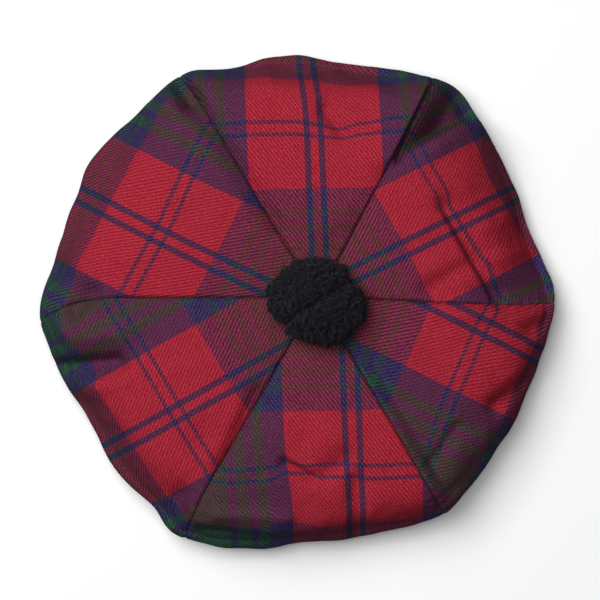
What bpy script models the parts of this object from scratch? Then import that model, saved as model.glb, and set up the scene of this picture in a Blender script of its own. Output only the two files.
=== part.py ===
"""Tam o'shanter: six petal-shaped cloth gores, a headband that the hat stands on, and a wool toorie.

Metres, +Z up. The origin is on the floor, under the middle of the crown's outline.
Bearings are in degrees anticlockwise from +X, seen from above, and start at the hub where the seams meet.
"""

import math
import random

import bmesh
import bpy
from mathutils import Vector

MM = 0.001

# Driving dimensions
HUB = Vector((11.7, 2.1)) * MM  # where the six seams meet, off the middle of the outline
HUB_HOLE = 2.5 * MM  # radius of the hole that the toorie's stitches close
CLOTH = 1.5 * MM  # wall of the crown: wool twill with its turned seams
SEAM_GAP = 0.3 * MM  # clearance between neighbouring pieces
BAND_RADIUS = 92.0 * MM  # inside of the headband, a head of 578 mm round
BAND_WALL = 2.4 * MM  # cloth folded double
BAND_HEIGHT = 28.0 * MM
TOORIE_SHIFT = Vector((-1.0, -1.6)) * MM  # its middle from the hub, seen from above
TOORIE_SIZE = Vector((28.6, 27.2, 21.5)) * MM  # half its width, depth and height, to the locks' tips

# The outline seen from above: how far the rim lies from the hub, and how far it sags.
# bearing in degrees, reach in mm, sag in mm
OUTLINE = (
    (1, 132.9, -1.0),
    (14, 125.6, 1.0),
    (30, 126.4, 2.2),
    (46, 133.6, 0.6),
    (58, 140.4, -1.6),
    (66, 137.6, -1.6),
    (78, 132.2, 0.8),
    (90, 134.6, 2.0),
    (100, 138.0, 1.6),
    (111, 137.6, 0.4),
    (121, 145.6, -1.2),
    (134, 144.8, 1.4),
    (146, 148.6, 3.0),
    (168, 147.1, 1.6),
    (183, 156.0, 0.0),
    (195, 151.2, 2.6),
    (209, 146.5, 2.2),
    (222, 149.2, 1.4),
    (231, 149.6, 0.9),
    (240, 154.6, 0.4),
    (254, 146.6, 3.0),
    (268, 137.6, 2.6),
    (280, 136.0, 1.0),
    (301, 139.0, -1.8),
    (313, 133.6, 0.6),
    (328, 130.2, 2.4),
    (343, 128.9, 1.2),
)

# The seams: their bearing at the hub, and how far each has swung round by the rim.
# bearing in degrees, swing in degrees
SEAMS = (
    (-2.2, 1.0),
    (61.8, 0.6),
    (121.2, 0.8),
    (180.0, 5.0),
    (239.6, 1.4),
    (300.2, 0.0),
)
SWING_FROM = 0.72  # share of the reach where a seam begins to swing

# One section of the crown from the hub, over the rim and back under to the headband.
# Share runs to the rim (1) from the hub (0) on top, and from the headband (0) underneath.
# station, underneath, share, height in mm
SECTION = (
    ("hub", False, 0.0, 44.6),
    ("dip", False, 0.20, 47.6),
    ("crown", False, 0.40, 49.4),
    ("crown edge", False, 0.60, 48.8),
    ("slope", False, 0.77, 46.0),
    ("shoulder", False, 0.90, 40.2),
    ("roll", False, 0.966, 31.4),
    ("rim", False, 1.0, 21.8),
    ("under roll", True, 0.92, 11.6),
    ("belly", True, 0.73, 6.0),
    ("hang", True, 0.50, 5.6),
    ("rise", True, 0.27, 12.0),
    ("neck", True, 0.12, 21.4),
    ("turn", True, 0.06, 27.4),
    ("lip", True, 0.0, 28.5),
)
SAG_POWER = 3  # how closely the sag keeps to the rim
STEPS_PER_STATION = 2
STEPS_ACROSS = 12

# Folds and dents of the top, as soft grooves (below 0) and ridges (above 0) along straight lines.
# name, from x, from y, to x, to y (mm from the hub), half widths to the left and right in mm, height in mm
FOLDS = (
    ("lifted edge along seam 2", 38, 74, 61.2, 119, 7.0, 1.4, 3.4),
    ("valley beside seam 2", 44, 78, 64, 112, 1.4, 6.0, -3.2),
    ("gore 1 corner hollow", 56, 92, 92, 111, 20.0, 4.0, -13.0),
    ("gore 1 corner crease", 48, 88, 88, 109, 9.0, 3.0, -9.0),
    ("gore 1 cross fold", 50, 78, 92, 99, 3.0, 6.0, 2.3),
    ("gore 1 outer slope", 118, 60, 122, 8, 25.0, 31.0, -12.0),
    ("gore 1 steeper brim", 118, 60, 122, 8, 12.0, 13.0, -7.0),
    ("gore 1 crease", 70, 47, 96, 2, 14.0, 2.2, -4.2),
    ("gore 1 shallow valley", 57, 5, 82, 17, 5.0, 5.0, -2.3),
    ("gore 1 ripple", 94, 20, 120, 28, 4.0, 4.0, 1.6),
    ("gore 1 second ripple", 92, 38, 118, 48, 4.0, 4.0, 1.3),
    ("gore 2 rolled brim", -34, 131, 44, 127, 10.0, 9.0, -9.0),
    ("gore 2 left dent", -20, 123, 4, 125, 5.0, 5.0, -3.9),
    ("gore 2 right dent", 15, 127, 42, 119, 5.0, 5.0, -3.9),
    ("gore 2 dimple", 8, 92, 10, 106, 8.0, 8.0, -2.6),
    ("valley beside seam 3", -22, 40, -73, 116, 6.0, 4.0, -4.4),
    ("corner dent at seam 3", -80, 122, -70, 106, 8.0, 6.0, -9.1),
    ("gore 3 rolled brim", -104, 98, -146, 20, 9.0, 13.0, -7.5),
    ("dent where seam 4 swings", -124, 2, -134, -8, 4.0, 6.0, -6.5),
    ("gore 3 corner hollow", -146, 14, -136, 4, 9.0, 9.0, -5.7),
    ("gore 4 valley", -148, -38, -112, -35, 4.0, 8.0, -9.1),
    ("gore 4 lobe", -138, -22, -112, -20, 8.0, 7.0, 4.2),
    ("gore 4 lower lobe", -132, -52, -112, -46, 7.0, 7.0, 2.3),
    ("gore 4 rolled brim", -134, -60, -88, -118, 9.0, 9.0, -7.5),
    ("groove along seam 5", -34, -52, -53, -92, 6.0, 4.0, -3.6),
    ("valley beside seam 5", -77, -110, -77, -134, 6.0, 6.0, -6.0),
    ("gore 5 diagonal dimple", -18, -90, -3, -98, 2.5, 4.5, -3.1),
    ("gore 5 side dimple", 3, -98, 16, -88, 6.0, 5.0, -2.9),
    ("gore 5 rolled edge", -56, -121, -18, -123, 4.5, 4.5, 3.1),
    ("gore 5 groove under the roll", -60, -131, -14, -134.5, 2.0, 7.0, -7.0),
    ("gore 5 long fold", 21, -102, 22, -132, 5.0, 5.0, -3.9),
    ("gore 5 rolled brim", 10, -134, 66, -124, 8.0, 8.0, -7.0),
    ("lifted edge along seam 6", 20, -36, 62, -108, 4.0, 5.0, 2.6),
    ("sunk edge along seam 6", 30, -34, 72, -106, 6.0, 4.0, -3.1),
    ("gore 6 bump", 74, -117, 84, -112, 6.0, 6.0, 3.1),
    ("gore 6 pucker", 63, -90, 76, -71, 3.0, 4.5, -2.6),
    ("gore 6 brim dent", 98, -59, 120, -42, 5.0, 6.0, -5.5),
    ("gore 6 upper brim dent", 118, -18, 128, -12, 5.0, 5.0, -4.4),
    ("lifted edge along seam 1", 64, -9, 130, -10, 5.0, 5.0, 2.6),
    ("sunk edge along seam 1", 64, 3, 130, 3, 6.0, 4.0, -2.9),
)
NARROWEST_FOLD = 8.0 * MM  # half width: below this a wall would run through itself at a seam
FOLD_SHARE = 0.65  # how much of a fold's height the solids take, for the same reason
PUFF = 3.2 * MM  # how far each gore swells between its seams
PUFF_ACROSS = 0.55  # below 1, the swelling starts steeply at the seam
PUFF_ALONG = 0.8  # the same, at the hub and the rim
GATHERS_PER_GORE = 3
GATHER_DEPTH = 2.2 * MM  # ripple of the cloth eased into the headband
GATHER_REACH = 0.31  # share of the section, up from the lip, that the ripple takes
NORMAL_TURN = 0.6  # degrees and share of the section over which the way out of the cloth is read
NORMAL_STEP = 0.004

# Toorie
LOCKS = 46
LOCK_RADIUS = 6.0 * MM
LOCK_STRETCH = 1.25  # a lock is this much longer than wide
HEAD_INSET = 1.2  # how far the head lies under the tips, in lock radii
LOCK_SEED = 7
LOWEST_LOCK = -0.35  # as a share of the height: none grows where it is sewn down
TOORIE_VOXEL = 3.3 * MM
TOORIE_LIFT = 0.6 * MM  # how far its lowest point lies above the hub

COLLECTION = "tam_o_shanter"
# node, colour, roughness
FINISHES = {
    "gore_1": ((0.25, 0.04, 0.06), 0.9),
    "gore_2": ((0.25, 0.04, 0.06), 0.9),
    "gore_3": ((0.23, 0.04, 0.06), 0.9),
    "gore_4": ((0.20, 0.03, 0.05), 0.9),
    "gore_5": ((0.19, 0.03, 0.05), 0.9),
    "gore_6": ((0.22, 0.03, 0.05), 0.9),
    "headband": ((0.18, 0.03, 0.05), 0.9),
    "toorie": ((0.015, 0.014, 0.018), 0.95),
}


def clear_scene():
    for item in list(bpy.data.objects):
        bpy.data.objects.remove(item)


def catmull_rom(before, start, end, after, share):
    """The value a share of the way from start to end, on a smooth curve through all four."""
    return 0.5 * (
        2 * start
        + (end - before) * share
        + (2 * before - 5 * start + 4 * end - after) * share**2
        + (3 * start - before - 3 * end + after) * share**3
    )


def outline(bearing, column):
    """A column of OUTLINE at a bearing, read as a smooth closed curve, in metres."""
    count = len(OUTLINE)
    turned = (bearing - OUTLINE[0][0]) % 360 + OUTLINE[0][0]
    last = max(i for i in range(count) if OUTLINE[i][0] <= turned)

    def row(step):
        index = last + step
        return OUTLINE[index % count][0] + 360 * (index // count), OUTLINE[index % count][column]

    (b0, r0), (b1, r1), (b2, r2), (b3, r3) = (row(step) for step in (-1, 0, 1, 2))
    span = b2 - b1
    slope_1 = (r2 - r0) / (b2 - b0) * span
    slope_2 = (r3 - r1) / (b3 - b1) * span
    # the same curve as catmull_rom, with its slopes set by the uneven bearings
    return catmull_rom(r2 - 2 * slope_1, r1, r2, r1 + 2 * slope_2, (turned - b1) / span) * MM


def outline_reach(bearing):
    """How far the rim lies from the hub."""
    return outline(bearing, 1)


def outline_sag(bearing):
    """How far the rim hangs below its usual height."""
    return outline(bearing, 2)


def band_reach(bearing, radius):
    """How far a circle of this radius round the origin lies from the hub."""
    direction = Vector((math.cos(math.radians(bearing)), math.sin(math.radians(bearing))))
    along = HUB.dot(direction)
    return math.sqrt(radius**2 - HUB.length_squared + along**2) - along


def seam_bearing(seam, share):
    """The bearing of a seam at a share of the reach; it swings only near the rim."""
    bearing, swing = SEAMS[seam % len(SEAMS)]
    ease = min(1.0, max(0.0, (share - SWING_FROM) / (1 - SWING_FROM)))
    return bearing + swing * ease**2 + 360 * (seam // len(SEAMS))


def station(along):
    """The four rows of SECTION round a place from 0 (hub) to 1 (lip), and the share between them."""
    last = len(SECTION) - 1
    first = min(int(along * last), last - 1)
    rows = [SECTION[min(max(first + step, 0), last)] for step in (-1, 0, 1, 2)]
    return rows, along * last - first


def section_point(bearing, along):
    """Distance from the hub and height of the plain crown, before its folds."""
    reach = outline_reach(bearing)
    band = band_reach(bearing, BAND_RADIUS + BAND_WALL / 2)
    rows, share = station(along)

    def distance(row):
        _, underneath, out, _ = row
        return band + out * (reach - band) if underneath else HUB_HOLE + out * (reach - HUB_HOLE)

    def height(row):
        _, _, out, level = row
        return level * MM - outline_sag(bearing) * out**SAG_POWER

    return (
        catmull_rom(*(distance(row) for row in rows), share),
        catmull_rom(*(height(row) for row in rows), share),
    )


def underneath_share(along):
    """0 on top of the crown and 1 below the rim, changing over the station on each side of the rim."""
    rim = next(i for i, row in enumerate(SECTION) if row[0] == "rim")
    place = along * (len(SECTION) - 1) - rim
    return min(1.0, max(0.0, (place + 1) / 2))


def reach_share(bearing, along):
    """How far out a place lies, as a share of the reach; it stays 1 on the way back under the rim."""
    distance, _ = section_point(bearing, along)
    return min(1.0, distance / outline_reach(bearing)) if underneath_share(along) < 1 else 1.0


def fold_height(x, y):
    """Height that the folds add at a place given from the hub; a fold can be steeper on one side."""
    total = 0.0
    for _, x0, y0, x1, y1, left, right, height in FOLDS:
        start, end, place = Vector((x0, y0)) * MM, Vector((x1, y1)) * MM, Vector((x, y))
        run = end - start
        nearest = min(1.0, max(0.0, (place - start).dot(run) / run.length_squared))
        away = place - start - run * nearest
        side = run.normalized().cross(away.normalized())
        half_width = max(NARROWEST_FOLD, ((left + right) / 2 + (left - right) / 2 * side) * MM)
        total += height * MM * math.exp(-((away.length / half_width) ** 2))
    return total * FOLD_SHARE


def gore_place(bearing, share):
    """How far across its gore a bearing lies, from 0 at one seam to 1 at the next."""
    for seam in range(-1, len(SEAMS) + 1):
        low, high = seam_bearing(seam, share), seam_bearing(seam + 1, share)
        if low <= bearing < high:
            return (bearing - low) / (high - low)
    return 0.0


def gather_height(across, along):
    """The ripple at the headband, deepest halfway up its reach and gone at its ends."""
    up = (1 - along) / GATHER_REACH
    depth = GATHER_DEPTH * math.sin(math.pi * up) if up < 1 else 0.0
    return depth * math.cos(math.tau * GATHERS_PER_GORE * across)


def crown_point(bearing, along):
    """A point of the crown's outer face, with its swelling, folds and gathers."""
    distance, height = section_point(bearing, along)
    share = reach_share(bearing, along)
    across = gore_place(bearing, share)
    x = distance * math.cos(math.radians(bearing))
    y = distance * math.sin(math.radians(bearing))
    swell = math.sin(math.pi * across) ** PUFF_ACROSS * math.sin(math.pi * share) ** PUFF_ALONG
    on_top = 1 - underneath_share(along)
    height += on_top * (PUFF * swell + fold_height(x, y)) + gather_height(across, along)
    return Vector((HUB.x + x, HUB.y + y, height))


def crown_normal(bearing, along):
    """The way out of the cloth at a point of the crown, the same on both sides of a seam."""
    around = crown_point(bearing + NORMAL_TURN, along) - crown_point(bearing - NORMAL_TURN, along)
    before, after = max(0.0, along - NORMAL_STEP), min(1.0, along + NORMAL_STEP)
    outward = crown_point(bearing, after) - crown_point(bearing, before)
    return outward.cross(around).normalized()


def wall_point(seam, across, along, depth):
    """A point of one gore's wall: across from seam to seam, along from hub to lip, depth inward."""
    middle = (seam_bearing(seam, 0) + seam_bearing(seam + 1, 0)) / 2
    share = reach_share(middle, along)
    distance, _ = section_point(middle, along)
    inset = math.degrees(SEAM_GAP / 2 / distance)
    low = seam_bearing(seam, share) + inset
    high = seam_bearing(seam + 1, share) - inset
    bearing = low + (high - low) * across
    return crown_point(bearing, along) - crown_normal(bearing, along) * depth


def make_object(name, bm, collection):
    """An object of this name from a bmesh, shaded smooth, with its own material."""
    mesh = bpy.data.meshes.new(name)
    bm.to_mesh(mesh)
    bm.free()
    mesh.shade_smooth()
    colour, roughness = FINISHES[name]
    material = bpy.data.materials.new(name)
    material.use_nodes = True
    shader = material.node_tree.nodes["Principled BSDF"]
    shader.inputs["Base Color"].default_value = (*colour, 1)
    shader.inputs["Roughness"].default_value = roughness
    shader.inputs["Metallic"].default_value = 0.0
    mesh.materials.append(material)
    made = bpy.data.objects.new(name, mesh)
    collection.objects.link(made)
    return made


def make_gore(seam, collection):
    """One petal: a flat slab in the cloth's own measure, bent into its place in the crown."""
    bm = bmesh.new()
    steps_along = STEPS_PER_STATION * (len(SECTION) - 1)
    bmesh.ops.create_grid(bm, x_segments=STEPS_ACROSS, y_segments=steps_along, size=0.5)
    inner = bmesh.ops.extrude_face_region(bm, geom=bm.faces[:], use_keep_orig=True)["geom"]
    inner_verts = [item for item in inner if isinstance(item, bmesh.types.BMVert)]
    bmesh.ops.translate(bm, verts=inner_verts, vec=(0, 0, CLOTH))
    for vert in bm.verts:
        across, along, depth = vert.co.x + 0.5, vert.co.y + 0.5, vert.co.z
        vert.co = wall_point(seam, across, along, depth)
    make_object(f"gore_{seam + 1}", bm, collection)


def make_headband(collection):
    """The doubled band, a turned wall with a rounded fold at the top and a flat edge on the floor."""
    bm = bmesh.new()
    rounding = BAND_WALL / 2
    outer = BAND_RADIUS + BAND_WALL
    profile = [Vector((outer, 0, BAND_HEIGHT - rounding)), Vector((outer, 0, 0))]
    profile += [Vector((BAND_RADIUS, 0, 0)), Vector((BAND_RADIUS, 0, BAND_HEIGHT - rounding))]
    for angle in (135, 90, 45):
        turn = math.radians(angle)
        centre = Vector((BAND_RADIUS + rounding, 0, BAND_HEIGHT - rounding))
        profile.append(centre + Vector((math.cos(turn), 0, math.sin(turn))) * rounding)
    verts = [bm.verts.new(point) for point in profile]
    for first, second in zip(verts, verts[1:] + verts[:1]):
        bm.edges.new((first, second))
    band = make_object("headband", bm, collection)
    turned = band.modifiers.new("turned", "SCREW")
    turned.axis = "Z"
    turned.angle = math.tau
    turned.steps = turned.render_steps = 60
    turned.use_merge_vertices = True
    turned.merge_threshold = 0.00005


def make_toorie(collection):
    """Short rounded locks of wool, spread by the golden angle and fused to a head."""
    draw = random.Random(LOCK_SEED)
    bm = bmesh.new()
    core = TOORIE_SIZE - Vector((1, 1, 1)) * LOCK_RADIUS * HEAD_INSET
    head = bmesh.ops.create_icosphere(bm, subdivisions=3, radius=1.0)["verts"]
    for vert in head:
        vert.co = Vector(c * half for c, half in zip(vert.co, core))
    golden = math.pi * (3 - math.sqrt(5))
    for lock in range(LOCKS):
        up = 1 - (1 - LOWEST_LOCK) * (lock + 0.5) / LOCKS
        flat = math.sqrt(1 - up * up)
        turn = golden * lock + draw.uniform(-0.15, 0.15)
        outward = Vector((flat * math.cos(turn), flat * math.sin(turn), up))
        radius = LOCK_RADIUS * draw.uniform(0.82, 1.08)
        inset = Vector((1, 1, 1)) * radius * LOCK_STRETCH
        root = Vector(c * (half - less) for c, half, less in zip(outward, TOORIE_SIZE, inset))
        spin = outward.to_track_quat("Z", "Y").to_matrix()
        for vert in bmesh.ops.create_icosphere(bm, subdivisions=2, radius=radius)["verts"]:
            vert.co = root + spin @ Vector((vert.co.x, vert.co.y, vert.co.z * LOCK_STRETCH))
    seat = SECTION[0][3] * MM + TOORIE_LIFT
    lowest = min(vert.co.z for vert in bm.verts)
    bmesh.ops.translate(bm, verts=bm.verts[:], vec=(*(HUB + TOORIE_SHIFT), seat - lowest))
    toorie = make_object("toorie", bm, collection)
    fused = toorie.modifiers.new("fused", "REMESH")
    fused.mode = "VOXEL"
    fused.voxel_size = TOORIE_VOXEL
    fused.use_smooth_shade = True


def main():
    clear_scene()
    collection = bpy.data.collections.new(COLLECTION)
    bpy.context.scene.collection.children.link(collection)
    for seam in range(len(SEAMS)):
        make_gore(seam, collection)
    make_headband(collection)
    make_toorie(collection)


main()
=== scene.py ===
"""Looks of the tam o'shanter: six tartan gores and their seams, the headband and the wool toorie.

Metres, +Z up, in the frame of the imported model. Bearings are in degrees anticlockwise from +X,
seen from above, and start at the hub where the six seams meet.
"""

import math
import random

import bmesh
import bpy
import numpy as np
from mathutils import Matrix, Vector, noise


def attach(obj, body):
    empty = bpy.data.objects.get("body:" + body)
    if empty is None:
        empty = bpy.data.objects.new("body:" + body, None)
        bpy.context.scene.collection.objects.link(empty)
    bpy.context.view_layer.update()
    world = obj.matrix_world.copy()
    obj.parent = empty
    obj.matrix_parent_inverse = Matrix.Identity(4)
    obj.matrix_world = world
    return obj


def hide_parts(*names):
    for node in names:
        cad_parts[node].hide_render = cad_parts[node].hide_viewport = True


MM = 0.001
TINY = 1e-9  # keeps a point that lies on a fold's own line from being divided by nothing
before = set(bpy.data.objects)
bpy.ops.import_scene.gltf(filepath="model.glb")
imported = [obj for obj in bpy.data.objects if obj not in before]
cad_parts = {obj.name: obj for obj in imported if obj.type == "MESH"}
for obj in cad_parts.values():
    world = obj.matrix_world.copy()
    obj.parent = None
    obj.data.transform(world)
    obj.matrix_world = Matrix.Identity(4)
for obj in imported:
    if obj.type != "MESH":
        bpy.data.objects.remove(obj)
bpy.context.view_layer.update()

# ---------------------------------------------------------------- sizes
# The outline, seams, section and headband are the solids' own. The folds are deeper and sharper here,
# and the cloth is a little thinner.
HUB = np.array((11.7, 2.1)) * MM  # where the six seams meet, from the middle of the headband
HUB_HOLE = 2.0 * MM  # radius that the gores leave open under the toorie
BAND_RADIUS = 92.0 * MM  # inside of the headband
BAND_WALL = 2.4 * MM
BAND_HEIGHT = 28.0 * MM

# The outline seen from above: how far the rim lies from the hub, and how far it sags.
# bearing in degrees, reach in mm, sag in mm
OUTLINE = (
    (1, 132.9, -1.0),
    (14, 125.6, 1.0),
    (30, 126.4, 2.2),
    (46, 133.6, 0.6),
    (58, 140.4, -1.6),
    (66, 137.6, -1.6),
    (78, 132.2, 0.8),
    (90, 134.6, 2.0),
    (100, 138.0, 1.6),
    (111, 137.6, 0.4),
    (121, 145.6, -1.2),
    (134, 144.8, 1.4),
    (146, 148.6, 3.0),
    (168, 147.1, 1.6),
    (183, 156.0, 0.0),
    (195, 151.2, 2.6),
    (209, 146.5, 2.2),
    (222, 149.2, 1.4),
    (231, 149.6, 0.9),
    (240, 154.6, 0.4),
    (254, 146.6, 3.0),
    (268, 137.6, 2.6),
    (280, 136.0, 1.0),
    (301, 139.0, -1.8),
    (313, 133.6, 0.6),
    (328, 130.2, 2.4),
    (343, 128.9, 1.2),
)

# The seams: their bearing at the hub, and how far each has swung round by the rim.
# bearing in degrees, swing in degrees
SEAMS = (
    (-2.2, 1.0),
    (61.8, 0.6),
    (121.2, 0.8),
    (180.0, 5.0),
    (239.6, 1.4),
    (300.2, 0.0),
)
SWING_FROM = 0.72  # share of the reach where a seam begins to swing

# The section of a gore from the hub over the rim and back. The share is of the way from the hub out to the
# rim, or underneath from the headband out to the rim.
# station, underneath, share, height in mm
SECTION = (
    ("hub", False, 0.0, 44.6),
    ("dip", False, 0.20, 47.6),
    ("crown", False, 0.40, 49.4),
    ("crown edge", False, 0.60, 48.8),
    ("slope", False, 0.77, 46.0),
    ("shoulder", False, 0.90, 40.2),
    ("roll", False, 0.966, 31.4),
    ("rim", False, 1.0, 21.8),
    ("under roll", True, 0.92, 11.6),
    ("belly", True, 0.73, 6.0),
    ("hang", True, 0.50, 5.6),
    ("rise", True, 0.27, 12.0),
    ("neck", True, 0.12, 21.4),
    ("turn", True, 0.06, 27.4),
    ("lip", True, 0.0, 28.5),
)
SAG_POWER = 3  # the sag grows with this power of the share
SLOPE_STEP = 0.004  # share of the section on each side of a point over which its slope is measured
STEPS_PER_STATION = 18
STEPS_PER_STATION_BELOW = 7
STEPS_ACROSS = 132
SEAM_CROWDING = 0.55  # how much closer the columns of points stand at the seams than in the middle

# Each fold follows a line. Its half widths are those to the left and to the right of the line, looking
# along it.
# name, from x, from y, to x, to y, left half width, right half width, height, in mm, places from the hub
FOLDS = (
    ("lifted edge along seam 2", 41, 79, 61.2, 119, 14.0, 1.4, 7.0),
    ("valley beside seam 2", 44, 78, 50, 89, 1.4, 5.0, -2.6),
    ("gore 1 cross fold", 60, 81, 92, 97, 5.0, 6.0, 2.3),
    ("gore 1 outer slope", 118, 60, 122, 8, 25.0, 31.0, -12.0),
    ("gore 1 steeper brim", 118, 60, 122, 8, 12.0, 13.0, -7.0),
    ("gore 1 crease", 70, 47, 96, 2, 14.0, 1.8, -6.0),
    ("gore 1 shallow valley", 57, 5, 82, 17, 5.0, 5.0, -2.3),
    ("gore 1 ripple", 94, 20, 120, 28, 4.0, 4.0, 1.6),
    ("gore 1 second ripple", 92, 38, 118, 48, 4.0, 4.0, 1.3),
    ("gore 2 rolled brim", -40, 131, 50, 126, 17.0, 8.0, -12.0),
    ("gore 2 left dent", -20, 123, 4, 125, 5.0, 5.0, -3.9),
    ("gore 2 right dent", 15, 127, 42, 119, 5.0, 5.0, -3.9),
    ("gore 2 dimple", 4, 103, 13, 91, 6.0, 4.0, -4.2),
    ("valley beside seam 3", -22, 40, -73, 116, 6.0, 4.0, -4.4),
    ("corner dent at seam 3", -71, 108, -82, 126, 6.0, 7.0, -13.0),
    ("gore 3 rolled brim", -104, 98, -146, 20, 9.0, 13.0, -7.5),
    ("dent where seam 4 swings", -124, 2, -134, -8, 4.0, 6.0, -6.5),
    ("gore 3 corner hollow", -146, 14, -136, 4, 9.0, 9.0, -5.7),
    ("gore 4 valley", -148, -38, -112, -35, 4.0, 8.0, -9.1),
    ("gore 4 lobe", -138, -22, -112, -20, 8.0, 7.0, 4.2),
    ("gore 4 lower lobe", -132, -52, -112, -46, 7.0, 7.0, 2.3),
    ("gore 4 rolled brim", -134, -60, -88, -118, 9.0, 14.0, -8.5),
    ("groove along seam 5", -34, -52, -53, -92, 6.0, 4.0, -3.6),
    ("valley beside seam 5", -77, -110, -77, -134, 6.0, 6.0, -7.5),
    ("gore 5 diagonal dimple", -18, -90, -4, -98, 1.6, 4.5, -4.6),
    ("gore 5 side dimple", 3, -98, 16, -88, 6.0, 5.0, -2.9),
    ("gore 5 rolled edge", -56, -121, -18, -123, 4.5, 4.5, 3.1),
    ("gore 5 groove under the roll", -62, -130, -14, -134, 2.0, 18.0, -9.5),
    ("gore 5 long fold", 21, -102, 22, -132, 5.0, 5.0, -3.9),
    ("gore 5 rolled brim", 10, -134, 66, -124, 8.0, 8.0, -7.0),
    ("lifted edge along seam 6", 20, -36, 62, -108, 4.0, 5.0, 2.6),
    ("sunk edge along seam 6", 30, -34, 72, -106, 6.0, 4.0, -3.1),
    ("gore 6 bump", 74, -117, 84, -112, 6.0, 6.0, 3.1),
    ("gore 6 pucker", 63, -90, 76, -71, 3.0, 4.5, -2.6),
    ("gore 6 brim dent", 98, -59, 120, -42, 5.0, 6.0, -5.5),
    ("gore 6 upper brim dent", 118, -18, 128, -12, 5.0, 5.0, -4.4),
    ("lifted edge along seam 1", 64, -9, 130, -10, 5.0, 5.0, 2.6),
    ("sunk edge along seam 1", 64, 3, 130, 3, 6.0, 4.0, -2.9),
)
# The corner of gore 1 beside seam 2 hangs in under its neighbour's edge: a fold as above, without a name.
SUNKEN_GORE = 1
SUNKEN_CORNER = (47, 82.5, 80, 100, 26.0, 2.4, -20.0)
SUNKEN_REACH = 16.0 * MM  # it has its whole depth this far from the seam
PUFF = 3.2 * MM  # how far a gore swells above its seams
PUFF_ACROSS = 0.55  # powers of the swell across the gore and along it: the smaller, the fuller
PUFF_ALONG = 0.8
GATHERS_PER_GORE = 3  # ripples where the crown is gathered into the headband
GATHER_DEPTH = 2.2 * MM
GATHER_REACH = 0.31  # share of the section that they run over

# ---------------------------------------------------------------- cloth
CLOTH = 1.3 * MM  # wall of the crown
SEAM_DIP = 1.2 * MM  # the seam is pulled in this far
SEAM_WIDTH = 1.0 * MM
PUCKER_DEPTH = 0.22 * MM  # small ripples that the sewing thread draws up beside a seam
PUCKER_LENGTH = 7.0 * MM
PUCKER_REACH = 6.0 * MM
FINE_GATHERS = 10
FINE_GATHER_DEPTH = 0.5 * MM
EASE_DEPTH = 1.1 * MM  # small waves of the fuller cloth near the rim
EASE_COUNT = 9.0  # waves to a radian of bearing
EASE_RUN = 3.0  # waves along the whole section
EASE_SPREAD = 0.16  # how far from the rim they reach, as a share of the section
# wave size in mm, height in mm
RUMPLES = ((46.0, 2.0), (17.0, 1.5), (7.0, 0.38))
TAUT_SPREAD = 0.09  # the rim is drawn taut this far to each side, as a share of the section
TAUT_SEAM = 0.7  # share of the seam's dip that is lost there
TAUT_RUMPLE = 0.6  # and share of the rumples

BAND_LAYER = 1.15 * MM  # one of the two layers of the headband
BAND_JOIN = 90.0  # bearing of the join, from the middle of the band
BAND_STEPS = 180
BAND_ROWS = 12
BAND_FOLD_ROWS = 7
BAND_WAVE = 0.4 * MM  # the band isn't quite round
BAND_WAVES = ((5, 0.7), (2, 0.3))  # two waves, multiplied: how many go to a turn, and start in radians

# ---------------------------------------------------------------- toorie
TOORIE_SHIFT = np.array((-1.0, -1.6)) * MM  # its middle from the hub, seen from above
TOORIE_SIZE = Vector((26.6, 25.0, 20.6)) * MM  # half its width, depth and height
TOORIE_LEVEL = 58.6 * MM  # height of its middle
TOORIE_FOOT = 45.0 * MM  # height of its flat underside, on the crown
HEAD_SHARE = 0.84  # reach of the head without its lobes, as a share of the half sizes
HEAD_ROUNDS = 5  # subdivisions of the ball that the head is made from
# bearing and upward angle in degrees, strength as a share of the half sizes
TOORIE_LOBES = (
    (150, 15, 0.08),
    (110, 30, 0.06),
    (185, 10, 0.08),
    (320, 15, 0.10),
    (350, 10, 0.10),
    (285, 15, 0.06),
    (130, 60, 0.05),
    (310, 60, 0.05),
)
LOBE_SPREAD = 0.10  # 1 less the cosine of the angle that a lobe spreads over
# The cleft between the two bunches of yarn, in shares of the half sizes.
CLEFT_TURN = math.radians(33)  # bearing that it runs along
CLEFT_ASIDE = -0.04
CLEFT_WIDTH = 0.13
CLEFT_DEPTH = 0.30
CLEFT_AT_SIDES = 0.35  # share of its depth that is left where it runs out at the outline
CLUMP_SIZE = 8.0 * MM  # the head's unevenness
CLUMP_HEIGHT = 0.05  # in shares of the half sizes
TOORIE_SEED = 7
LOWEST_WAY = -0.55  # how far down the loops and hairs go, as a share of half the height
STRAY_TURN = 0.3  # how far each may be off its even place, in radians round the toorie
STRAY_UP = 0.02  # and as a share of half the height
LOOPS = 1000
LOOP_RADIUS = 1.35 * MM
YARN_RADIUS = 0.75 * MM
LOOP_SIDES = 5
LOOP_STEPS = 7
LOOP_LEAN = 0.3  # how far a loop leans from standing on edge, as a slope
LOOP_SIZES = (0.7, 1.4)  # least and most
LOOP_SQUASH = (0.6, 1)  # width as a share of the length, least and most
LOOP_HEIGHTS = (-0.5, 0.9)  # how far a loop stands out of the head, in loop radii, least and most
HAIRS = 3200
HAIR_LENGTH = 3.4 * MM
HAIR_LENGTHS = (0.5, 1.2)  # shares of that length, least and most
HAIR_RADIUS = 0.16 * MM
HAIR_CORNERS = (0.0, 2.1, 4.2)  # turns of its three corners in radians
HAIR_RINGS = ((0.0, 1.0), (0.45, 0.85))  # share of the length, share of the radius
HAIR_LEAN = 0.8  # how far a hair leans from straight out, as a slope
HAIR_BEND = 0.5  # how far its tip curls aside, as a share of the length

# ---------------------------------------------------------------- weave
END = 0.549 * MM  # from one warp thread to the next
PICK = 0.785 * MM  # from one weft thread to the next
TWILL_THREADS = 4  # a two-and-two twill
WARP_SHARE = 0.58  # how much of the face the closer-set warp covers
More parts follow.
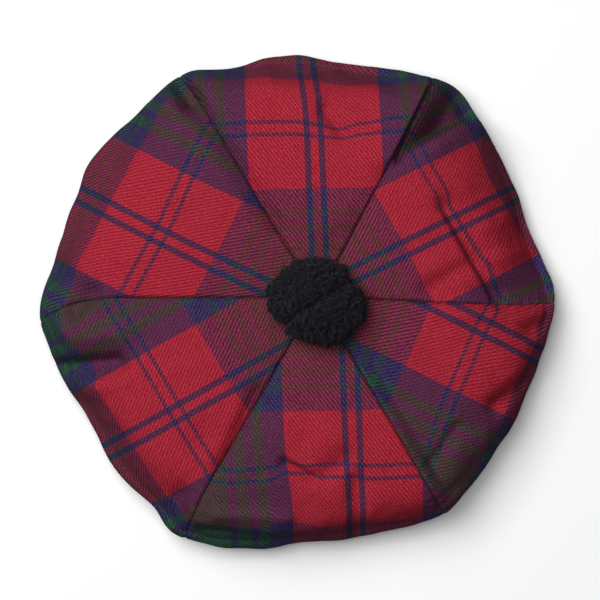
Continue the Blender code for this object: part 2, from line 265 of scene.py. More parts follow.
# Half of the repeat, which turns back on itself at both ends.
# colour, width in mm across the warp threads
SETT = (
    ("red", 2.1),
    ("ink", 3.1),
    ("red", 30.6),
    ("navy", 11.8),
    ("green", 5.6),
    ("navy", 4.1),
    ("green", 5.9),
    ("navy", 4.1),
    ("green", 10.1),
)
WEFT_SHARE = 0.93  # width of the weft's stripes, as a share of the warp's
# linear red, green and blue
YARN = {
    "red": (0.258, 0.0009, 0.0140),
    "navy": (0.0140, 0.0055, 0.053),
    "ink": (0.0085, 0.0045, 0.046),
    "green": (0.0030, 0.0430, 0.0160),
}
WARP_ON_TOP = 0.72  # share of the warp's colour where the warp is on top
WARP_BELOW = 0.42  # and where the weft is
RIB_EDGE = 0.2  # softness of the change from warp to weft
RIB_SHADE = 0.19  # painted shade: how much darker the sunken weft floats are
RIB_RELIEF = 0.6  # share of the bump that the ribs make, the rest being the threads' own roundness
THREAD_SHADE = 0.22  # painted shade: how much darker the furrow beside each thread is
FLECK = 0.8  # unevenness of the yarn's own colour
WARP_APART = 3.7  # how far apart in the noise two neighbouring threads lie, so that their streaks differ
WEFT_APART = 3.1
WEFT_LEVEL = 9.0  # and how far the weft's streaks lie from the warp's
SHADE_GAIN = 1.01  # makes up for the painted shade of the furrows, so that the yarns keep their mean colours
WANDER = 0.5 * MM  # how far the threads stray from one centimetre to the next
FRAY = 0.9 * MM  # and within a few threads
LINT_AND_HIGHLIGHT = 0.056  # pale fuzz and painted highlight, most of it on the raised threads where the light falls
LINT_AND_HIGHLIGHT_RANGE = (0.40, 0.80)  # the noise at which it begins, and at which it is whole
LINT_AND_HIGHLIGHT_BELOW = 0.4  # share of it on the sunken threads
PAINTED_RIB_HIGHLIGHT = 0.005  # painted highlight: the raised threads made evenly paler, as where the light falls on them
FUZZ_RELIEF = 0.5  # bump of the cloth's surface, against 1 for the weave's
CLOTH_BUMP = 0.2 * MM
WOOL_BUMP = 0.15 * MM
BUMP_STRENGTH = 0.6
# place on the ramp, linear red, green and blue
WOOL_COLOURS = ((0.30, (0.0009, 0.0007, 0.0016)), (0.72, (0.0062, 0.0047, 0.0095)))
# How fine the noises are, in waves to a metre.
WANDER_WAVES = 90.0
FRAY_WAVES = 650.0
FLECK_WAVES = 800.0
LINT_AND_HIGHLIGHT_WAVES = 1600.0
FUZZ_WAVES = 2600.0
WOOL_WAVES = 700.0
# How each gore was laid on the cloth, as the photograph shows it: the bearing that its double navy line
# runs out along, how far the lines across it are turned from square (anticlockwise), the place where the
# two cross, and the share by which handling has drawn the cloth wider.
# bearing and turn in degrees, x and y in mm from the hub, share
LAYS = (
    (26.5, 4.0, 75.0, 40.5, 0.0),
    (92.5, -1.5, -2.5, 94.2, 0.02),
    (153.5, -0.5, -88.5, 35.5, 0.04),
    (209.4, 1.4, -77.5, -63.9, 0.035),
    (272.0, -1.5, 19.0, -95.4, 0.04),
    (333.5, 3.0, 92.5, -16.5, 0.06),
)
# Where handling drew the cloth along itself as well: the pulls are clockwise and in toward the hub.
# gore, x, y, reach, pull aside, pull in, in mm, places from the hub
DRAWS = (
    (1, 120, 32, 22, 0.0, -10.0),
    (1, 74, 80, 26, 0.0, 3.0),
    (1, 68, 7, 16, 0.0, 3.0),
    (2, -6, 131, 18, -2.5, 0.0),
    (2, 8, 93, 12, 0.0, 2.0),
    (2, 48, 99, 14, 0.0, -2.5),
    (2, 18, 121, 22, 0.0, 6.0),
    (3, -70, 65, 45, -1.6, 0.0),
    (3, -88, 36, 25, 0.0, 1.3),
    (5, -45, -98, 20, 0.0, -2.4),
    (5, 25, -127, 26, 0.0, -2.5),
    (5, -16, -122, 30, -3.5, 0.0),
    (6, 90, -23, 20, 0.0, 3.0),
    (6, 77, -50, 20, 0.0, 3.0),
    (6, 70, -69, 16, 0.0, 2.0),
    (6, 61, -90, 24, 0.0, -0.8),
)

# ---------------------------------------------------------------- picture
PIXEL = 0.56 * MM  # of the photograph, on the level of the rim
PHOTO_SIDE = 600
VIEW_CENTRE = (1.7 * MM, 0.8 * MM, 22.0 * MM)
CAMERA_HEIGHT = 1.6  # above that centre
SENSOR = 36.0  # millimetres, as Blender has it
CLIP_START = 0.05
FLOOR_REACH = 6.0  # from its middle to its edges
FLOOR_GREY = 0.68
WORLD_LIGHT = 0.06
# name, place in metres, size in metres, power in watts
LAMPS = (
    ("key", (-0.87, 0.76, 2.0), 1.6, 72.0),
    ("overhead", (0.0, 0.0, 2.3), 0.7, 22.0),
)


def catmull_rom(before, start, end, after, share):
    """The value a share of the way from start to end, on a smooth curve through all four."""
    return 0.5 * (
        2 * start
        + (end - before) * share
        + (2 * before - 5 * start + 4 * end - after) * share**2
        + (3 * start - before - 3 * end + after) * share**3
    )


def outline(bearing, column):
    """A column of OUTLINE at an array of bearings, read as a smooth closed curve, in metres."""
    rows = np.array(OUTLINE, float)
    count = len(rows)
    turned = (bearing - rows[0, 0]) % 360 + rows[0, 0]
    last = np.searchsorted(rows[:, 0], turned, side="right") - 1

    def row(step):
        index = last + step
        return rows[index % count, 0] + 360 * (index // count), rows[index % count, column]

    bearings, values = zip(*(row(step) for step in (-1, 0, 1, 2)))
    span = bearings[2] - bearings[1]
    first_slope = (values[2] - values[0]) / (bearings[2] - bearings[0]) * span
    last_slope = (values[3] - values[1]) / (bearings[3] - bearings[1]) * span
    before, after = values[2] - 2 * first_slope, values[1] + 2 * last_slope
    return catmull_rom(before, values[1], values[2], after, (turned - bearings[1]) / span) * MM


def band_reach(bearing, radius):
    """How far a circle of this radius round the origin lies from the hub."""
    along = HUB[0] * np.cos(np.radians(bearing)) + HUB[1] * np.sin(np.radians(bearing))
    return np.sqrt(radius**2 - HUB @ HUB + along**2) - along


def seam_bearing(seam, share):
    """The bearing of a seam at a share of the reach."""
    bearing, swing = SEAMS[seam % len(SEAMS)]
    ease = np.clip((share - SWING_FROM) / (1 - SWING_FROM), 0, 1)
    return bearing + swing * ease**2 + 360 * (seam // len(SEAMS))


def section_point(bearing, along):
    """Distance from the hub and height of the plain crown, before its folds."""
    rows = np.array([row[1:] for row in SECTION], float)
    last = len(rows) - 1
    first = np.minimum((along * last).astype(int), last - 1)
    share = along * last - first
    reach, sag = outline(bearing, 1), outline(bearing, 2)
    band = band_reach(bearing, BAND_RADIUS + BAND_WALL / 2)

    def place(step):
        underneath, out, level = rows[np.clip(first + step, 0, last)].transpose(2, 0, 1)
        start = np.where(underneath > 0, band, HUB_HOLE)
        return start + out * (reach - start), level * MM - sag * out**SAG_POWER

    distances, heights = zip(*(place(step) for step in (-1, 0, 1, 2)))
    return catmull_rom(*distances, share), catmull_rom(*heights, share)


def station(name):
    """The place of a station in SECTION."""
    return next(index for index, row in enumerate(SECTION) if row[0] == name)


def underneath_share(along):
    """0 on top of the crown and 1 below the rim, changing over a station on each side of the rim."""
    return np.clip((along * (len(SECTION) - 1) - station("rim") + 1) / 2, 0, 1)


def fold_height(x, y, folds):
    """Height that folds, given without their names, add at places measured from the hub."""
    total = np.zeros_like(x)
    for x0, y0, x1, y1, left, right, height in folds:
        start, run = np.array((x0, y0)) * MM, np.array((x1 - x0, y1 - y0)) * MM
        nearest = np.clip(((x - start[0]) * run[0] + (y - start[1]) * run[1]) / (run @ run), 0, 1)
        away_x, away_y = x - start[0] - run[0] * nearest, y - start[1] - run[1] * nearest
        away = np.hypot(away_x, away_y) + TINY
        side = (run[0] * away_y - run[1] * away_x) / (math.hypot(*run) * away)
        half_width = ((left + right) / 2 + (left - right) / 2 * side) * MM
        total += height * MM * np.exp(-((away / half_width) ** 2))
    return total


def near_rim(along, spread):
    """1 at the rim, fading to 0 on both sides of it."""
    return np.exp(-(((along - station("rim") / (len(SECTION) - 1)) / spread) ** 2))


def plain_way_out(bearing, along):
    """The way out of the plain crown in the upright plane through the hub.

    It is the same on both sides of a seam, so that two gores meet there.
    """
    before = section_point(bearing, np.clip(along - SLOPE_STEP, 0, 1))
    after = section_point(bearing, np.clip(along + SLOPE_STEP, 0, 1))
    run, rise = after[0] - before[0], after[1] - before[1]
    length = np.hypot(run, rise)
    out, up = -rise / length, run / length
    turn = np.radians(bearing)
    return np.stack((out * np.cos(turn), out * np.sin(turn), up), axis=-1)


def rumple(points):
    """Uneven rise and fall of soft cloth at an array of points, as a height."""
    flat = points.reshape(-1, 3)
    total = np.zeros(len(flat))
    for size, height in RUMPLES:
        scaled = flat / (size * MM)
        total += height * MM * np.array([noise.noise(Vector(point)) for point in scaled])
    return total.reshape(points.shape[:-1])


class Gore:
    """One petal of the crown, as a grid of points.

    Its rows follow each other from the hub to the lip, and its columns from one seam to the next.
    """

    def __init__(self, seam):
        self.seam = seam
        steps = np.linspace(0, 1, STEPS_ACROSS + 1)
        across = steps - SEAM_CROWDING * np.sin(math.tau * steps) / math.tau
        rim, last = station("rim"), len(SECTION) - 1
        top = np.arange(STEPS_PER_STATION * rim) / STEPS_PER_STATION
        steps_below = STEPS_PER_STATION_BELOW * (last - rim)
        below = rim + np.arange(steps_below + 1) / STEPS_PER_STATION_BELOW
        along = np.concatenate((top, below)) / last
        self.along, self.across = np.meshgrid(along, across, indexing="ij")
        self.place()
        self.lay_on_cloth()

    def place(self):
        """Points of the outer face: self.folded has its folds, and self.points the cloth's relief too."""
        middle_bearing = (seam_bearing(self.seam, 0) + seam_bearing(self.seam + 1, 0)) / 2
        middle = np.full_like(self.along, middle_bearing)
        distance, _ = section_point(middle, self.along)
        share = np.where(self.on_top(), np.minimum(1.0, distance / outline(middle, 1)), 1.0)
        low, high = seam_bearing(self.seam, share), seam_bearing(self.seam + 1, share)
        self.bearing = low + (high - low) * self.across
        self.distance, height = section_point(self.bearing, self.along)
        turn = np.radians(self.bearing)
        x, y = self.distance * np.cos(turn), self.distance * np.sin(turn)
        swell = np.sin(np.pi * self.across) ** PUFF_ACROSS * np.sin(np.pi * share) ** PUFF_ALONG
        folds = fold_height(x, y, [row[1:] for row in FOLDS])
        above = 1 - underneath_share(self.along)
        height = height + above * (PUFF * swell + folds) + self.gathers()
        self.folded = np.stack((HUB[0] + x, HUB[1] + y, height), axis=-1)
        from_seam = self.distance * np.radians(high - low) * np.minimum(self.across, 1 - self.across)
        way_out = plain_way_out(self.bearing, self.along)
        self.points = self.folded + way_out * self.relief(from_seam)[..., None]
        if self.seam + 1 == SUNKEN_GORE:
            down = np.sin(np.minimum(from_seam / SUNKEN_REACH, 1) * np.pi / 2) ** 2
            self.points[..., 2] += above * down * fold_height(x, y, (SUNKEN_CORNER,))

    def on_top(self):
        """True from the hub out over the rim, as far as the next station."""
        return underneath_share(self.along) < 1

    def run(self):
        """How far each point is from the first of its column, measured along the face."""
        steps = np.diff(self.folded, axis=0, prepend=self.folded[:1])
        return np.cumsum(np.linalg.norm(steps, axis=-1), axis=0)

    def gathers(self):
        """The ripple at the headband, coarse and fine."""
        up = np.minimum((1 - self.along) / GATHER_REACH, 1)
        coarse = GATHER_DEPTH * np.cos(math.tau * GATHERS_PER_GORE * self.across)
        fine = FINE_GATHER_DEPTH * np.cos(math.tau * FINE_GATHERS * self.across)
        return np.sin(np.pi * up) * (coarse + fine)

    def relief(self, from_seam):
        """How far the cloth stands out of the folded face: sewn seam, puckers, waves and rumples."""
        taut = near_rim(self.along, TAUT_SPREAD)
        seam = -SEAM_DIP * np.exp(-((from_seam / SEAM_WIDTH) ** 2)) * (1 - TAUT_SEAM * taut)
        pucker = PUCKER_DEPTH * np.exp(-((from_seam / PUCKER_REACH) ** 2))
        ripple = np.sin(math.tau * self.run()[:, :1] / PUCKER_LENGTH)
        rumples = rumple(self.folded) * (1 - TAUT_RUMPLE * taut)
        return seam + pucker * ripple + self.ease() + rumples

    def ease(self):
        """Uneven waves that run out to the rim and on underneath it."""
        turn = np.radians(self.bearing)
        x, y = np.cos(turn) * EASE_COUNT, np.sin(turn) * EASE_COUNT
        ring = np.stack((x, y, self.along * EASE_RUN), axis=-1)
        waves = np.array([noise.noise(Vector(point)) for point in ring.reshape(-1, 3)])
        near = near_rim(self.along, EASE_SPREAD)
        return EASE_DEPTH * near * waves.reshape(near.shape)

    def distance_from(self, x, y):
        """How far each point is, seen from above, from a place given in mm from the hub."""
        place = HUB + np.array((x, y)) * MM
        return np.hypot(self.folded[..., 0] - place[0], self.folded[..., 1] - place[1])

    def lay_on_cloth(self):
        """Each point's place on the flat cloth, measured from the crossing of the double navy lines."""
        bearing, lean, crossing_x, crossing_y, stretch = LAYS[self.seam]
        turn = np.radians(self.bearing - bearing)
        sideways = self.distance * np.sin(turn)
        outward = self.run() - self.distance * (1 - np.cos(turn))
        from_crossing = np.where(self.on_top(), self.distance_from(crossing_x, crossing_y), np.inf)
        crossing = np.unravel_index(np.argmin(from_crossing), sideways.shape)
        sideways = sideways - sideways[crossing]
        across = sideways / (1 + stretch)
        along = outward - outward[crossing] + sideways * math.tan(math.radians(lean))
        for gore, x, y, reach, pull_aside, pull_in in DRAWS:
            if gore == self.seam + 1:
                share = np.exp(-((self.distance_from(x, y) / (reach * MM)) ** 2)) * MM
                across = across + pull_aside * share
                along = along + pull_in * share
        self.cloth = np.stack((across, along), axis=-1)


def add_object(name, bm):
    """The finished bmesh as an object in the scene."""
    mesh = bpy.data.meshes.new(name)
    bm.to_mesh(mesh)
    bm.free()
    piece = bpy.data.objects.new(name, mesh)
    bpy.context.scene.collection.objects.link(piece)
    return piece


def grid_piece(name, points, cloth, thickness):
    """A sheet of cloth through a grid of points, with its place on the flat cloth as its UV map."""
    rows, columns = points.shape[0] - 1, points.shape[1] - 1
    bm = bmesh.new()
    bmesh.ops.create_grid(bm, x_segments=columns, y_segments=rows, size=0.5)
    order = []
    for vert in bm.verts:
        row, column = round((vert.co.y + 0.5) * rows), round((vert.co.x + 0.5) * columns)
        order.append(row * (columns + 1) + column)
        vert.co = points[row, column]
    bmesh.ops.reverse_faces(bm, faces=bm.faces[:])
    piece = add_object(name, bm)
    mesh = piece.data
    corners = np.empty(len(mesh.loops), np.int32)
    mesh.loops.foreach_get("vertex_index", corners)
    flat = cloth.reshape(-1, 2)[np.array(order)][corners]
    mesh.uv_layers.new(name="cloth").data.foreach_set("uv", flat.astype(np.float32).ravel())
    wall = piece.modifiers.new("wall", "SOLIDIFY")
    wall.thickness = thickness
    wall.offset = -1
    return piece


def cloth_area(grid):
    """Area of a grid of flat cloth places."""
    first, second = grid[1:, 1:] - grid[:-1, :-1], grid[1:, :-1] - grid[:-1, 1:]
    return float(np.abs(first[..., 0] * second[..., 1] - first[..., 1] * second[..., 0]).sum() / 2)


class Socket:
    """An output of a node. Arithmetic on it adds Math nodes to the same material."""

    def __init__(self, recipe, output):
        self.recipe, self.output = recipe, output

    def math(self, operation, *operands):
        return self.recipe.node("ShaderNodeMath", {"operation": operation}, dict(enumerate(operands)))

    def __add__(self, other):
        return self.math("ADD", self, other)

    def __sub__(self, other):
        return self.math("SUBTRACT", self, other)

    def __mul__(self, other):
        return self.math("MULTIPLY", self, other)

    def __truediv__(self, other):
        return self.math("DIVIDE", self, other)

    def floor(self):
        return self.math("FLOOR", self)

    def fraction(self):
        return self.math("FRACT", self)

    def bounce(self, span):
        """Runs up from 0 to span and back down again, over and over."""
        return self.math("PINGPONG", self, span)


class Recipe:
    """A material built up from nodes, ending in one Principled shader."""

    def __init__(self, name, **finish):
        self.material = bpy.data.materials.new(name)
        self.material.use_nodes = True
        self.tree = self.material.node_tree
        self.shader = self.tree.nodes["Principled BSDF"]
        self.feed(self.shader, {key.replace("_", " "): value for key, value in finish.items()})

    def feed(self, node, inputs):
        """Fills a node's sockets: a Socket is linked, and anything else is set."""
        for key, value in inputs.items():
            socket = node.inputs[key]
            if isinstance(value, Socket):
                self.tree.links.new(value.output, socket)
            elif isinstance(value, tuple) and len(value) == 3 and socket.type == "RGBA":
                socket.default_value = (*value, 1.0)
            else:
                socket.default_value = value

    def node(self, kind, settings=None, inputs=None, output=0):
        """Adds a node: its settings first, then the values or links of its sockets.

        A ramp's stops count as a setting.
        """
        made = self.tree.nodes.new(kind)
        for key, value in (settings or {}).items():
            if key == "stops":
                self.set_stops(made.color_ramp, value)
            else:
                setattr(made, key, value)
        self.feed(made, inputs or {})
        return Socket(self, made.outputs[output])

    def set_stops(self, ramp, stops):
        """Gives a ramp its interpolation, and the place and colour of each of its stops."""
        interpolation, rows = stops
        ramp.interpolation = interpolation
        while len(ramp.elements) < len(rows):
            ramp.elements.new(1.0)
        for element, (place, colour) in zip(ramp.elements, rows):
            element.position = place
            element.color = (*colour, 1.0)

    def mix(self, share, first, second):
        """Mixes two colours, which a Mix node has in sockets 6 and 7, with output 2 for the result."""
        settings = {"data_type": "RGBA"}
        return self.node("ShaderNodeMix", settings, {0: share, 6: first, 7: second}, output=2)

    def smooth_range(self, value, low, high):
        """0 below low and 1 above high, with a soft change between them."""
        settings = {"interpolation_type": "SMOOTHSTEP"}
        return self.node("ShaderNodeMapRange", settings, {0: value, 1: low, 2: high})

    def noise(self, vector, scale=1.0, detail=2.0):
        inputs = {"Vector": vector, "Scale": scale, "Detail": detail}
        return self.node("ShaderNodeTexNoise", None, inputs)

    def bump(self, height, depth):
        inputs = {"Strength": BUMP_STRENGTH, "Distance": depth, "Height": height}
        return self.node("ShaderNodeBump", None, inputs)

    def vector(self, x, y, z=0.0):
        return self.node("ShaderNodeCombineXYZ", None, {0: x, 1: y, 2: z})

    def x_and_y(self, vector):
        split = self.node("ShaderNodeSeparateXYZ", None, {0: vector}).output.node
        return Socket(self, split.outputs[0]), Socket(self, split.outputs[1])


def sett_stops():
    """The sett's colours as a ramp over half of its repeat, and how long that half is.

    Each colour is given as its fourth root, because two yarns mixed that way keep their depth.
    """
    half = sum(width for _, width in SETT)
    rows, passed = [], 0.0
    for colour, width in SETT:
        rows.append((passed / half, tuple(channel**0.25 for channel in YARN[colour])))
        passed += width
    return ("CONSTANT", rows), half * MM


def up_and_down(socket):
    """Rises from 0 to 1 and falls back to 0 over each whole step of a socket."""
    return socket.fraction().bounce(0.5) * 2.0


def tartan_material():
    """Wool twill: warp and weft take the sett's colours thread by thread, and either lies on top."""
    cloth = Recipe("tartan_twill", Roughness=0.9, Specular_IOR_Level=0.06)
    flat = cloth.node("ShaderNodeUVMap", {"uv_map": "cloth"})
    x, y = cloth.x_and_y(flat)
    # threads aren't laid quite straight
    wander = (cloth.noise(flat, WANDER_WAVES) - 0.5) * WANDER
    fray = (cloth.noise(flat, FRAY_WAVES) - 0.5) * FRAY
    x, y = x + wander + fray, y + wander - fray
    end, pick = (x / END).floor(), (y / PICK).floor()
    stops, half = sett_stops()

    def stripes(place):
        return cloth.node("ShaderNodeValToRGB", {"stops": stops}, {0: place.bounce(half) / half})

    warp = stripes((end + 0.5) * END)
    weft = stripes((pick + 0.5) * (PICK / WEFT_SHARE))
    # the twill's ribs, high where the warp is on top; the wool's fuzz blurs one yarn into the next
    rib = up_and_down(x / (END * TWILL_THREADS) - y / (PICK * TWILL_THREADS))
    over = cloth.smooth_range(rib, 1 - WARP_SHARE - RIB_EDGE, 1 - WARP_SHARE + RIB_EDGE)
    face = cloth.mix(over * (WARP_ON_TOP - WARP_BELOW) + WARP_BELOW, weft, warp)
    # squared twice, the roots give the colours back
    for _ in range(2):
        face = cloth.node("ShaderNodeVectorMath", {"operation": "MULTIPLY"}, {0: face, 1: face})
    warp_streak = cloth.noise(cloth.vector(end * WARP_APART, y * FLECK_WAVES), detail=1.0)
    weft_streak = cloth.noise(cloth.vector(x * FLECK_WAVES, pick * WEFT_APART, WEFT_LEVEL), detail=1.0)
    streak = weft_streak + over * (warp_streak - weft_streak)
    warp_round, weft_round = up_and_down(x / END), up_and_down(y / PICK)
    thread = weft_round + over * (warp_round - weft_round)
    # painted shade: the sunken weft floats and the furrow beside each thread are darkened in the colour,
    # while the streaks are the yarn's own unevenness
    relief = over * RIB_SHADE + thread * THREAD_SHADE + (1 - RIB_SHADE - THREAD_SHADE)
    shade = relief * (streak * FLECK + (1 - FLECK / 2)) * SHADE_GAIN
    face = cloth.node("ShaderNodeVectorMath", {"operation": "SCALE"}, {0: face, "Scale": shade})
    # pale flecks, partly the wool's own fuzz and partly painted highlight, stronger on the raised threads,
    # which also get an even painted highlight
    lint_and_highlight = cloth.smooth_range(cloth.noise(flat, LINT_AND_HIGHLIGHT_WAVES), *LINT_AND_HIGHLIGHT_RANGE)
    lint_and_highlight = lint_and_highlight * (over * (1 - LINT_AND_HIGHLIGHT_BELOW) + LINT_AND_HIGHLIGHT_BELOW) * LINT_AND_HIGHLIGHT + over * PAINTED_RIB_HIGHLIGHT
    pale = cloth.vector(lint_and_highlight, lint_and_highlight, lint_and_highlight)
    face = cloth.node("ShaderNodeVectorMath", {"operation": "ADD"}, {0: face, 1: pale})
    place = cloth.node("ShaderNodeTexCoord", None, None, "Object")
    fuzz = cloth.noise(place, FUZZ_WAVES) * FUZZ_RELIEF
    height = over * RIB_RELIEF + thread * (1 - RIB_RELIEF) + fuzz
    cloth.feed(cloth.shader, {"Base Color": face, "Normal": cloth.bump(height, CLOTH_BUMP)})
    return cloth.material


def wool_material():
    """Near-black looped wool with a little violet in it."""
    finish = {"Roughness": 0.95, "Specular_IOR_Level": 0.15, "Sheen_Weight": 0.04, "Sheen_Roughness": 0.5}
    wool = Recipe("toorie_wool", **finish)
    place = wool.node("ShaderNodeTexCoord", None, None, "Object")
    speckle = wool.noise(place, WOOL_WAVES, detail=3.0)
    colour = wool.node("ShaderNodeValToRGB", {"stops": ("LINEAR", WOOL_COLOURS)}, {0: speckle})
    wool.feed(wool.shader, {"Base Color": colour, "Normal": wool.bump(speckle, WOOL_BUMP)})
    return wool.material


def finish_piece(piece, material, slot, *nodes):
    """Gives a piece smooth shading and its material, hangs it under the root, and hides the solids of the
    frame that it stands for.
    """
    piece.data.shade_smooth()
    piece.data.materials.append(material)
    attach(piece, "root")
    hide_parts(*nodes)


def make_crown(material):
    """The six gores, each one sheet of the tartan."""
    for seam in range(len(SEAMS)):
        gore = Gore(seam)
        name = f"cloth_gore_{seam + 1}"
        piece = grid_piece(name, gore.points, gore.cloth, CLOTH)
        finish_piece(piece, material, "tartan_cloth", f"gore_{seam + 1}")
        area = cloth_area(gore.cloth)


def make_headband(material):
    """A straight strip of the same cloth folded in two: its fold is on the floor, its ends meet behind."""
    turn = np.radians(BAND_JOIN + np.linspace(0, 360, BAND_STEPS + 1))
    inner, outer = BAND_RADIUS + BAND_LAYER / 2, BAND_RADIUS + BAND_WALL - BAND_LAYER / 2
    fold = (outer - inner) / 2
    low = fold + BAND_LAYER / 2
    rise = np.linspace(BAND_HEIGHT, low, BAND_ROWS)
    round_fold = np.linspace(0, np.pi, BAND_FOLD_ROWS)[1:-1]
    across_fold = inner + fold + fold * np.cos(round_fold)
    reach = np.concatenate((np.full(BAND_ROWS, outer), across_fold, np.full(BAND_ROWS, inner)))
    level = np.concatenate((rise, low - fold * np.sin(round_fold), rise[::-1]))
    run = np.cumsum(np.hypot(np.diff(reach, prepend=reach[0]), np.diff(level, prepend=level[0])))
    fast, slow = (np.sin(turn * count + start) for count, start in BAND_WAVES)
    waves = BAND_WAVE * fast * slow
    reach = reach[::-1, None] + waves[None, :]
    height = np.broadcast_to(level[::-1, None], reach.shape)
    points = np.stack((reach * np.cos(turn), reach * np.sin(turn), height), axis=-1)
    around = (turn - turn[0]) * (inner + outer) / 2
    cloth = np.stack(np.broadcast_arrays(around[None, :], run[:, None]), axis=-1)
    piece = grid_piece("cloth_headband", points, cloth, BAND_LAYER)
    piece.modifiers["wall"].offset = 0
    finish_piece(piece, material, "headband_cloth", "headband")


def head_reach(outward):
    """How far the toorie's head reaches from its middle, as a share of its half sizes.

    Its lobes stand out, and the cleft runs between them.
    """
    reach = HEAD_SHARE
    for turn, up, strength in TOORIE_LOBES:
        flat = math.cos(math.radians(up))
        lobe = Vector((
            flat * math.cos(math.radians(turn)),
            flat * math.sin(math.radians(turn)),
            math.sin(math.radians(up)),
        ))
        reach += strength * math.exp(-(((1 - outward.dot(lobe)) / LOBE_SPREAD) ** 2))
    across = outward.dot(Vector((-math.sin(CLEFT_TURN), math.cos(CLEFT_TURN), 0))) - CLEFT_ASIDE
    depth = CLEFT_DEPTH * (CLEFT_AT_SIDES + (1 - CLEFT_AT_SIDES) * max(0.0, outward.z))
    reach -= depth * math.exp(-((across / CLEFT_WIDTH) ** 2))
    place = Vector(share * half for share, half in zip(outward, TOORIE_SIZE))
    return reach + CLUMP_HEIGHT * noise.noise(place / CLUMP_SIZE)


def toorie_point(outward):
    """A place on the toorie's head. It is flat below, where it sits on the crown."""
    reach = head_reach(outward)
    place = Vector(share * half * reach for share, half in zip(outward, TOORIE_SIZE))
    place.z = max(place.z, TOORIE_FOOT - TOORIE_LEVEL)
    return place + Vector((*(HUB + TOORIE_SHIFT), TOORIE_LEVEL))


def random_way(draw):
    """A direction, each one as likely as any other."""
    return Vector(draw.gauss(0, 1) for _ in range(3)).normalized()


def spread_ways(count, draw):
    """Ways out of the toorie, spread evenly by the golden angle from the top down, each a little astray."""
    golden = math.pi * (3 - math.sqrt(5))
    for index in range(count):
        up = 1 - (1 - LOWEST_WAY) * (index + 0.5) / count
        flat = math.sqrt(1 - up * up)
        turn = golden * index + draw.uniform(-STRAY_TURN, STRAY_TURN)
        up += draw.uniform(-STRAY_UP, STRAY_UP)
        yield Vector((flat * math.cos(turn), flat * math.sin(turn), up)).normalized()


def yarn_loop():
    """One closed loop of yarn, flat in its own XY plane."""
    bm = bmesh.new()
    ring = bmesh.ops.create_circle(bm, segments=LOOP_SIDES, radius=YARN_RADIUS)["verts"]
    bmesh.ops.rotate(bm, verts=ring, cent=(0, 0, 0), matrix=Matrix.Rotation(math.pi / 2, 3, "X"))
    bmesh.ops.translate(bm, verts=ring, vec=(LOOP_RADIUS, 0, 0))
    section = bm.verts[:] + bm.edges[:]
    bmesh.ops.spin(bm, geom=section, axis=(0, 0, 1), angle=math.tau, steps=LOOP_STEPS, use_merge=True)
    bmesh.ops.recalc_face_normals(bm, faces=bm.faces[:])
    loop = bpy.data.meshes.new("loop")
    bm.to_mesh(loop)
    bm.free()
    return loop


def add_hair(bm, root, way, bend, length):
    """A three-sided hair that tapers to a point and curves over."""
    side = way.orthogonal().normalized()
    across = way.cross(side)
    corners = [side * math.cos(turn) + across * math.sin(turn) for turn in HAIR_CORNERS]
    rings = []
    for share, width in HAIR_RINGS:
        middle = root + way * length * share + bend * length * share**2
        rings.append([bm.verts.new(middle + corner * HAIR_RADIUS * width) for corner in corners])
    tip = bm.verts.new(root + way * length + bend * length)
    foot, waist = rings
    for this, following in ((0, 1), (1, 2), (2, 0)):
        bm.faces.new((foot[this], foot[following], waist[following], waist[this]))
        bm.faces.new((waist[this], waist[following], tip))


def cover_with_loops(bm, draw):
    """Small curled loops of yarn all over the head, each at its own size, lean and height."""
    loop = yarn_loop()
    for outward in spread_ways(LOOPS, draw):
        lean = Vector(draw.gauss(0, LOOP_LEAN) for _ in range(3))
        upright = (outward.cross(random_way(draw)) + lean).normalized()
        size = draw.uniform(*LOOP_SIZES)
        turned = upright.to_track_quat("Z", "Y").to_matrix().to_4x4()
        place = toorie_point(outward) + outward * (LOOP_RADIUS * draw.uniform(*LOOP_HEIGHTS))
        stretched = Matrix.Diagonal((size, size * draw.uniform(*LOOP_SQUASH), size, 1))
        curl = loop.copy()
        curl.transform(Matrix.Translation(place) @ turned @ stretched)
        bm.from_mesh(curl)
        bpy.data.meshes.remove(curl)
    bpy.data.meshes.remove(loop)


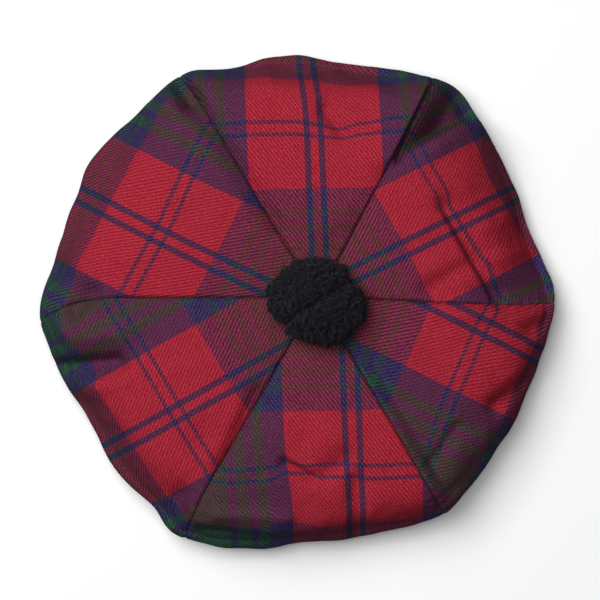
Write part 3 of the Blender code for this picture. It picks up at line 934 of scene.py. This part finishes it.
def make_toorie(material):
    """A dense head of wool in two lobes, covered with loops of yarn and with loose hairs between them."""
    draw = random.Random(TOORIE_SEED)
    bm = bmesh.new()
    for vert in bmesh.ops.create_icosphere(bm, subdivisions=HEAD_ROUNDS, radius=1.0)["verts"]:
        vert.co = toorie_point(vert.co.normalized())
    cover_with_loops(bm, draw)
    for outward in spread_ways(HAIRS, draw):
        way = (outward + random_way(draw) * HAIR_LEAN).normalized()
        length = HAIR_LENGTH * draw.uniform(*HAIR_LENGTHS)
        add_hair(bm, toorie_point(outward), way, random_way(draw) * HAIR_BEND, length)
    finish_piece(add_object("wool_toorie", bm), material, "toorie_wool", "toorie")


def make_floor():
    """A plain pale floor for the hat to stand on."""
    bm = bmesh.new()
    bmesh.ops.create_grid(bm, x_segments=1, y_segments=1, size=FLOOR_REACH)
    floor = add_object("floor", bm)
    paper = Recipe("pale_floor", Base_Color=(FLOOR_GREY,) * 3, Roughness=0.9, Specular_IOR_Level=0.1)
    floor.data.materials.append(paper.material)
    # the photograph's hat was lit from above alone, with nothing bright under its rim
    floor.visible_diffuse = False


def light_studio():
    """Soft light from above, most of it from the upper left of the picture."""
    world = bpy.data.worlds.new("studio")
    bpy.context.scene.world = world
    world.use_nodes = True
    background = world.node_tree.nodes["Background"]
    background.inputs["Color"].default_value = (1, 1, 1, 1)
    background.inputs["Strength"].default_value = WORLD_LIGHT
    for name, place, size, power in LAMPS:
        lamp = bpy.data.lights.new(name, "AREA")
        lamp.shape = "SQUARE"
        lamp.size = size
        lamp.energy = power
        light = bpy.data.objects.new(name, lamp)
        light.location = place
        light.rotation_euler = (-Vector(place)).to_track_quat("-Z", "Y").to_euler()
        bpy.context.scene.collection.objects.link(light)


def make_camera():
    """Straight above, framed as the photograph is."""
    lens = bpy.data.cameras.new("camera")
    lens.sensor_width = SENSOR
    lens.lens = SENSOR * CAMERA_HEIGHT / (PIXEL * PHOTO_SIDE)
    lens.clip_start = CLIP_START
    camera = bpy.data.objects.new("camera", lens)
    camera.location = Vector(VIEW_CENTRE) + Vector((0, 0, CAMERA_HEIGHT))
    bpy.context.scene.collection.objects.link(camera)
    bpy.context.scene.camera = camera
    bpy.context.scene.view_settings.view_transform = "Standard"


def main():
    tartan = tartan_material()
    wool = wool_material()
    make_crown(tartan)
    make_headband(tartan)
    make_toorie(wool)
    make_floor()
    light_studio()
    make_camera()


main()
